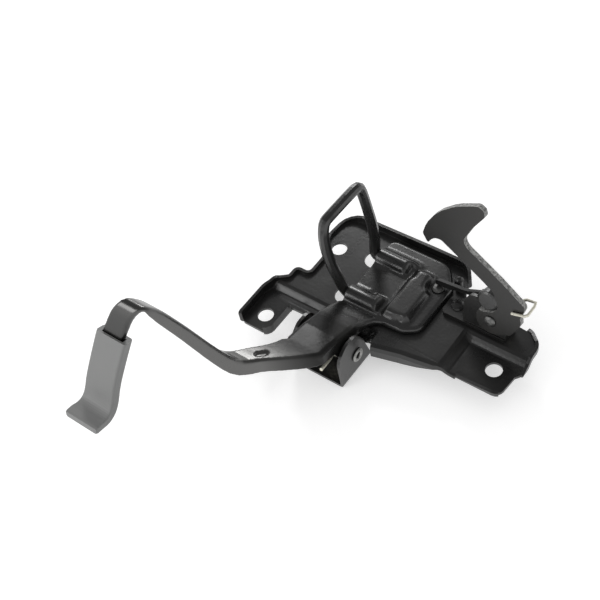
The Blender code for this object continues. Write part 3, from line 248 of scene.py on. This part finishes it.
def dot_product(tree, first, second):
    """The dot product of a vector socket with another one or with a fixed direction."""
    node = tree.nodes.new("ShaderNodeVectorMath")
    node.operation = "DOT_PRODUCT"
    tree.links.new(first, node.inputs[0])
    if isinstance(second, tuple):
        node.inputs[1].default_value = second
    else:
        tree.links.new(second, node.inputs[1])
    return node.outputs["Value"]


def blend(tree, factor, first, second):
    """A number mix; each number is a socket or a value."""
    node = tree.nodes.new("ShaderNodeMix")
    tree.links.new(factor, node.inputs["Factor"])
    set_input(tree, node.inputs["A"], first)
    set_input(tree, node.inputs["B"], second)
    return node.outputs["Result"]


def mix(tree, factor, first, second):
    """A colour mix; each colour is a socket or three numbers."""
    node = tree.nodes.new("ShaderNodeMix")
    node.data_type = "RGBA"
    tree.links.new(factor, node.inputs["Factor"])
    set_input(tree, node.inputs[6], first)
    set_input(tree, node.inputs[7], second)
    return node.outputs[2]


def new_material(title):
    """A material with its tree and shader."""
    made = bpy.data.materials.new(title)
    made.use_nodes = True
    tree = made.node_tree
    return made, tree, tree.nodes["Principled BSDF"]


def finish_bump(tree, shader, height, depth, strength):
    """Feeds a height to the shader's normal."""
    bump = tree.nodes.new("ShaderNodeBump")
    bump.inputs["Distance"].default_value = depth
    bump.inputs["Strength"].default_value = strength
    tree.links.new(height, bump.inputs["Height"])
    tree.links.new(bump.outputs["Normal"], shader.inputs["Normal"])


# Surroundings

def add_world():
    """Pale surroundings: white to the camera, and a tent that darkens overhead in reflections."""
    world = bpy.data.worlds.new("studio")
    scene.world = world
    world.use_nodes = True
    tree = world.node_tree
    path = tree.nodes.new("ShaderNodeLightPath")
    way = tree.nodes.new("ShaderNodeSeparateXYZ")
    tree.links.new(tree.nodes.new("ShaderNodeTexCoord").outputs["Generated"], way.inputs[0])
    tent = remap(tree, way.outputs["Z"], *TENT_HEIGHTS, TENT_SIDE, TENT_TOP)
    level = blend(tree, path.outputs["Is Glossy Ray"], WORLD_LEVEL, tent)
    white = maths(tree, "MAXIMUM", path.outputs["Is Camera Ray"], path.outputs["Is Transmission Ray"])
    ground = tree.nodes["Background"]
    ground.inputs["Color"].default_value = (1.0, 1.0, 1.0, 1.0)
    tree.links.new(blend(tree, white, level, 1.0), ground.inputs["Strength"])


def add_floor():
    """A pale floor that keeps the object's shadow and is white where nothing shades it."""
    bpy.ops.mesh.primitive_plane_add(size=FLOOR_SIZE, location=(0.0, 0.0, FLOOR_Z))
    floor = bpy.context.object
    floor.name = "floor"
    made, tree, shader = new_material("pale_floor")
    shader.inputs["Base Color"].default_value = (FLOOR_COLOUR, FLOOR_COLOUR, FLOOR_COLOUR, 1.0)
    shader.inputs["Roughness"].default_value = FLOOR_ROUGHNESS
    shader.inputs["Specular IOR Level"].default_value = 0.0
    shader.inputs["Emission Color"].default_value = (1.0, 1.0, 1.0, 1.0)
    path = tree.nodes.new("ShaderNodeLightPath")
    seen = maths(tree, "MULTIPLY", path.outputs["Is Camera Ray"], FLOOR_LIFT)
    mirrored = maths(tree, "MULTIPLY", path.outputs["Is Glossy Ray"], FLOOR_MIRRORED)
    tree.links.new(maths(tree, "ADD", seen, mirrored), shader.inputs["Emission Strength"])
    floor.data.materials.append(made)


# Shader groups that the finishes share

def new_group(title, inputs, outputs):
    """An empty shader group with named number inputs and outputs."""
    tree = bpy.data.node_groups.new(title, "ShaderNodeTree")
    for name, value in inputs:
        socket = tree.interface.new_socket(name, in_out="INPUT", socket_type="NodeSocketFloat")
        socket.default_value = value
    for name in outputs:
        tree.interface.new_socket(name, in_out="OUTPUT", socket_type="NodeSocketFloat")
    return tree, tree.nodes.new("NodeGroupInput"), tree.nodes.new("NodeGroupOutput")


def use_group(tree, group, **values):
    """A group node with its own values."""
    node = tree.nodes.new("ShaderNodeGroup")
    node.node_tree = group
    for name, value in values.items():
        node.inputs[name.replace("_", " ")].default_value = value
    return node


def coat_group():
    """Sprayed and baked coat: faint orange peel, patches of gloss and sparse dust."""
    tree, entry, out = new_group("coat", (("Patch Scale", PATCH[0]),), ("Peel", "Patch", "Dust"))
    place = object_place(tree)
    peel = noise(tree, *PEEL, place)
    patch = noise(tree, *PATCH, place)
    tree.links.new(entry.outputs["Patch Scale"], patch.inputs["Scale"])
    spot = remap(tree, noise(tree, *DUST, place).outputs["Fac"], *DUST_SPOTS)
    area = remap(tree, noise(tree, *DUSTY_AREA, place).outputs["Fac"], *DUSTY_AREAS)
    tree.links.new(peel.outputs["Fac"], out.inputs["Peel"])
    tree.links.new(remap(tree, patch.outputs["Fac"], *MIDDLE), out.inputs["Patch"])
    tree.links.new(maths(tree, "MULTIPLY", spot, area), out.inputs["Dust"])
    return tree


def edge_group():
    """Edges of a piece, broken up as wear is. On the stud the light edge it carries is also a painted
    highlight.
    """
    tree, entry, out = new_group("edge", (("Width", EDGE_WIDTH),), ("Edge",))
    soft = tree.nodes.new("ShaderNodeBevel")
    soft.samples = EDGE_SAMPLES
    tree.links.new(entry.outputs["Width"], soft.inputs["Radius"])
    flat = tree.nodes.new("ShaderNodeNewGeometry")
    facing = dot_product(tree, soft.outputs["Normal"], flat.outputs["Normal"])
    turn = remap(tree, maths(tree, "SUBTRACT", 1.0, facing), *EDGE_TURN)
    wear = noise(tree, *WEAR, object_place(tree)).outputs["Fac"]
    share = remap(tree, wear, *WORN_SPOTS, 1.0 - BREAK_UP, 1.0)
    tree.links.new(maths(tree, "MULTIPLY", turn, share), out.inputs["Edge"])
    return tree


COAT = coat_group()
EDGE = edge_group()


# Finishes

def along_arm(tree, ends, values=(0.0, 1.0)):
    """A value that changes between two places along Y, as the colour and shine do toward the arm's end."""
    way = tree.nodes.new("ShaderNodeSeparateXYZ")
    tree.links.new(object_place(tree), way.inputs[0])
    return remap(tree, way.outputs["Y"], *ends, *values)


def grey_and_painted_light_along_arm(tree, shader, base, shine):
    """Turns a black base colour along the arm to a grey metallic colour that is partly a greyish coat and
    partly painted light, darker at the neck as painted shade, with a duller coat from the plate on.
    """
    share = along_arm(tree, ARM_GREY_FROM)
    arm_grey_and_painted_light = mix(tree, along_arm(tree, NECK_SHADE_FROM), ARM_GREY_AND_PAINTED_LIGHT, NECK_PAINTED_SHADE)
    tree.links.new(share, shader.inputs["Metallic"])
    tree.links.new(along_arm(tree, DULL_FROM, (shine, DULL_SHINE)), shader.inputs["Specular IOR Level"])
    return mix(tree, share, base, arm_grey_and_painted_light)


def black_coat(title, colours, edge_colour, roughness, width=EDGE_WIDTH, shine=0.8, grey_arm_with_painted_light=False):
    """Black coated sheet, a little lighter where the coat is thin on its edges, and on the stud's rim also
    a painted highlight.
    """
    made, tree, shader = new_material(title)
    coat = use_group(tree, COAT)
    edge = use_group(tree, EDGE, Width=width)
    shader.inputs["Specular IOR Level"].default_value = shine
    base = mix(tree, coat.outputs["Patch"], *colours)
    base = mix(tree, edge.outputs["Edge"], base, edge_colour)
    if grey_arm_with_painted_light:
        base = grey_and_painted_light_along_arm(tree, shader, base, shine)
    tree.links.new(mix(tree, coat.outputs["Dust"], base, DUST_COLOUR), shader.inputs["Base Color"])
    rough = remap(tree, coat.outputs["Patch"], 0.0, 1.0, *roughness)
    dusty = maths(tree, "MULTIPLY", coat.outputs["Dust"], DUST_ROUGHENS)
    tree.links.new(maths(tree, "ADD", rough, dusty), shader.inputs["Roughness"])
    finish_bump(tree, shader, coat.outputs["Peel"], *PEEL_BUMP)
    return made


def sheared_coat(title):
    """The hook's coat: black on its faces, light on the sheared edges, partly as wear and partly as
    painted light that the edges catch.
    """
    made, tree, shader = new_material(title)
    coat = use_group(tree, COAT, Patch_Scale=HOOK_PATCH_SCALE)
    coords = tree.nodes.new("ShaderNodeTexCoord")
    facing = dot_product(tree, coords.outputs["Normal"], HOOK_NORMAL)
    side = remap(tree, maths(tree, "ABSOLUTE", facing), *HOOK_SIDES)
    tear = noise(tree, *TEAR, coords.outputs["Object"]).outputs["Fac"]
    worn_and_lit_edge = mix(tree, remap(tree, tear, *NARROW_MIDDLE), *HOOK_EDGE_WEAR_AND_SHEEN)
    face = mix(tree, coat.outputs["Patch"], *HOOK_FACE)
    tree.links.new(mix(tree, side, face, worn_and_lit_edge), shader.inputs["Base Color"])
    rough = remap(tree, coat.outputs["Patch"], 0.0, 1.0, *HOOK_ROUGHNESS)
    rougher = maths(tree, "MULTIPLY", side, TORN_ROUGHENS)
    tree.links.new(maths(tree, "ADD", rough, rougher), shader.inputs["Roughness"])
    finish_bump(tree, shader, tear, *TEAR_BUMP)
    return made


def swing_roughness(tree, shader, value, rough, swing):
    """Lets the roughness follow a noise to both sides of its own value."""
    lower, higher = (rough + change for change in swing)
    tree.links.new(remap(tree, value, *MIDDLE, lower, higher), shader.inputs["Roughness"])


def moulded_plastic(title, colours, rough):
    """Moulded plastic with a fine spark-eroded grain."""
    made, tree, shader = new_material(title)
    place = object_place(tree)
    mottle = noise(tree, *MOTTLE, place).outputs["Fac"]
    tree.links.new(mix(tree, mottle, *colours), shader.inputs["Base Color"])
    swing_roughness(tree, shader, mottle, rough, PLASTIC_SWING)
    finish_bump(tree, shader, noise(tree, *GRAIN, place).outputs["Fac"], *GRAIN_BUMP)
    return made


def plated_steel(title, colours, rough, metallic=1.0):
    """Plated or bare steel with faint streaks."""
    made, tree, shader = new_material(title)
    streak = noise(tree, *STREAK, object_place(tree)).outputs["Fac"]
    tree.links.new(mix(tree, remap(tree, streak, *NARROW_MIDDLE), *colours), shader.inputs["Base Color"])
    swing_roughness(tree, shader, streak, rough, STEEL_SWING)
    shader.inputs["Metallic"].default_value = metallic
    finish_bump(tree, shader, streak, *STREAK_BUMP)
    return made


def add_materials():
    """Gives each node its finish."""
    plate = black_coat("plate_coat", ((0.0075, 0.0075, 0.0078), (0.015, 0.0148, 0.014)),
                       (0.040, 0.040, 0.038), (0.24, 0.36), shine=0.6)
    lever = black_coat("lever_coat", ((0.0085, 0.0085, 0.0088), (0.016, 0.0158, 0.0150)),
                       (0.05, 0.05, 0.048), (0.22, 0.32), grey_arm_with_painted_light=True)
    loop = black_coat("loop_coat", ((0.007, 0.007, 0.0072), (0.012, 0.012, 0.0115)),
                      (0.03, 0.03, 0.03), (0.24, 0.33))
    # The stud's wide light rim is partly wear and partly a painted highlight, standing in for the glint on
    # its knurled rim.
    stud = black_coat("stud_coat", ((0.010, 0.010, 0.010), (0.020, 0.020, 0.019)),
                      (0.30, 0.30, 0.29), (0.30, 0.42), width=0.0010)
    kick = black_coat("kick_coat", ((0.005, 0.005, 0.005), (0.009, 0.009, 0.009)),
                      (0.02, 0.02, 0.02), (0.40, 0.52), shine=0.3)
    hook = sheared_coat("hook_coat")
    grip = moulded_plastic("grip_plastic", ((0.185, 0.187, 0.186), (0.230, 0.231, 0.228)), 0.50)
    nylon = moulded_plastic("bush_nylon", ((0.03, 0.03, 0.03), (0.05, 0.05, 0.048)), 0.45)
    steel = plated_steel("rivet_steel", ((0.22, 0.22, 0.21), (0.42, 0.42, 0.41)), 0.36)
    pin = plated_steel("pin_steel", ((0.10, 0.10, 0.10), (0.20, 0.20, 0.195)), 0.42)
    spring = plated_steel("spring_zinc", ((0.62, 0.60, 0.50), (0.78, 0.76, 0.66)), 0.38, 0.55)
    finishes = {
        "base_plate": plate, "pivot_bracket": plate, "hook_bracket": plate, "guide_pin": plate,
        "foot_rivet_left": plate, "foot_rivet_right": plate, "kick_lever": kick,
        "release_lever": lever, "striker_loop": loop, "stop_stud": stud, "safety_hook": hook,
        "grip_sleeve": grip, "bush_left": nylon, "bush_right": nylon, "hook_bush": nylon,
        "pivot_rivet": steel, "spacer_tube": steel, "hook_pin": pin, "hook_washer": pin,
        "lift_stud": pin, "lever_spring": spring, "hook_spring": spring,
    }
    for title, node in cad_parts.items():
        node.data.materials.clear()
        node.data.materials.append(finishes[title])


# Sheet metal

def soften_edges():
    """Welds the facets of each cut or pressed piece and rounds its edges, so that they catch the light."""
    for title, width in SOFT_EDGES.items():
        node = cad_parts[title]
        node.modifiers.new("weld", "WELD").merge_threshold = WELD
        bevel = node.modifiers.new("soft_edges", "BEVEL")
        bevel.width = width
        bevel.segments = SEGMENTS
        bevel.limit_method = "ANGLE"
        bevel.angle_limit = SHARP
        bevel.harden_normals = True
        node.modifiers.new("even_normals", "WEIGHTED_NORMAL").keep_sharp = True


def even_copy(node, title):
    """A merged copy of a node with a fine, even mesh, left in edit mode with everything selected."""
    bpy.ops.object.select_all(action="DESELECT")
    node.select_set(True)
    bpy.context.view_layer.objects.active = node
    bpy.ops.object.duplicate()
    item = bpy.context.object
    item.name = title
    bpy.ops.object.mode_set(mode="EDIT")
    bpy.ops.mesh.select_all(action="SELECT")
    bpy.ops.mesh.remove_doubles(threshold=WELD)
    bpy.ops.mesh.customdata_custom_splitnormals_clear()
    bpy.ops.object.mode_set(mode="OBJECT")
    even = item.modifiers.new("even", "REMESH")
    even.mode = "VOXEL"
    even.voxel_size = LEVER_GRAIN
    bpy.ops.object.modifier_apply(modifier=even.name)
    bpy.ops.object.mode_set(mode="EDIT")
    bpy.ops.mesh.select_mode(type="VERT")
    bpy.ops.mesh.select_all(action="SELECT")
    return item


def select_inside(mesh, boxes, side=0):
    """Selects the vertices in some boxes: all, or those on the sheet's top (side 1) or underside (-1)."""
    bpy.ops.mesh.select_all(action="DESELECT")
    edit = bmesh.from_edit_mesh(mesh)
    edit.normal_update()
    for vert in edit.verts:
        held = any(left <= vert.co.x <= right and front <= vert.co.y <= back
                   for left, right, front, back in boxes)
        vert.select = held and (side == 0 or vert.normal.z*side > FACING)
    edit.select_flush(True)
    bmesh.update_edit_mesh(mesh)


def press(mesh, boxes, top, slope):
    """Presses the sheet in some boxes to a level, with soft slopes round them."""
    for side, height in ((1, top), (-1, top - SHEET)):
        select_inside(mesh, boxes, side)
        bpy.ops.transform.resize(value=(1.0, 1.0, 0.0), center_override=(0.0, 0.0, height),
                                 use_proportional_edit=True, proportional_edit_falloff="SMOOTH",
                                 proportional_size=slope, use_proportional_connected=True)


def add_pressed_lever():
    """A finer copy of the lever's sheet, with the wide plateau beside its half tubes."""
    lever = even_copy(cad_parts["release_lever"], "pressed_lever")
    bpy.ops.mesh.vertices_smooth(factor=SMOOTHING, repeat=SHEET_SMOOTHINGS)
    press(lever.data, RECESSES, CARRIER_TOP, RECESS_SLOPE)
    press(lever.data, PLATEAU, PLATEAU_TOP, PLATEAU_SLOPE)
    select_inside(lever.data, SMOOTHED)
    bpy.ops.mesh.vertices_smooth(factor=SMOOTHING, repeat=PRESS_SMOOTHINGS, xaxis=False, yaxis=False)
    bpy.ops.object.mode_set(mode="OBJECT")
    bpy.ops.object.shade_smooth()
    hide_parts("release_lever")
    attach(lever, "lever")


scene.view_settings.view_transform = "Standard"
add_camera()
add_world()
add_floor()
add_area("key", KEY_WAY, KEY_SIZE, KEY_POWER)
add_area("front", FRONT_WAY, FRONT_SIZE, FRONT_POWER)
add_materials()
soften_edges()
add_pressed_lever()
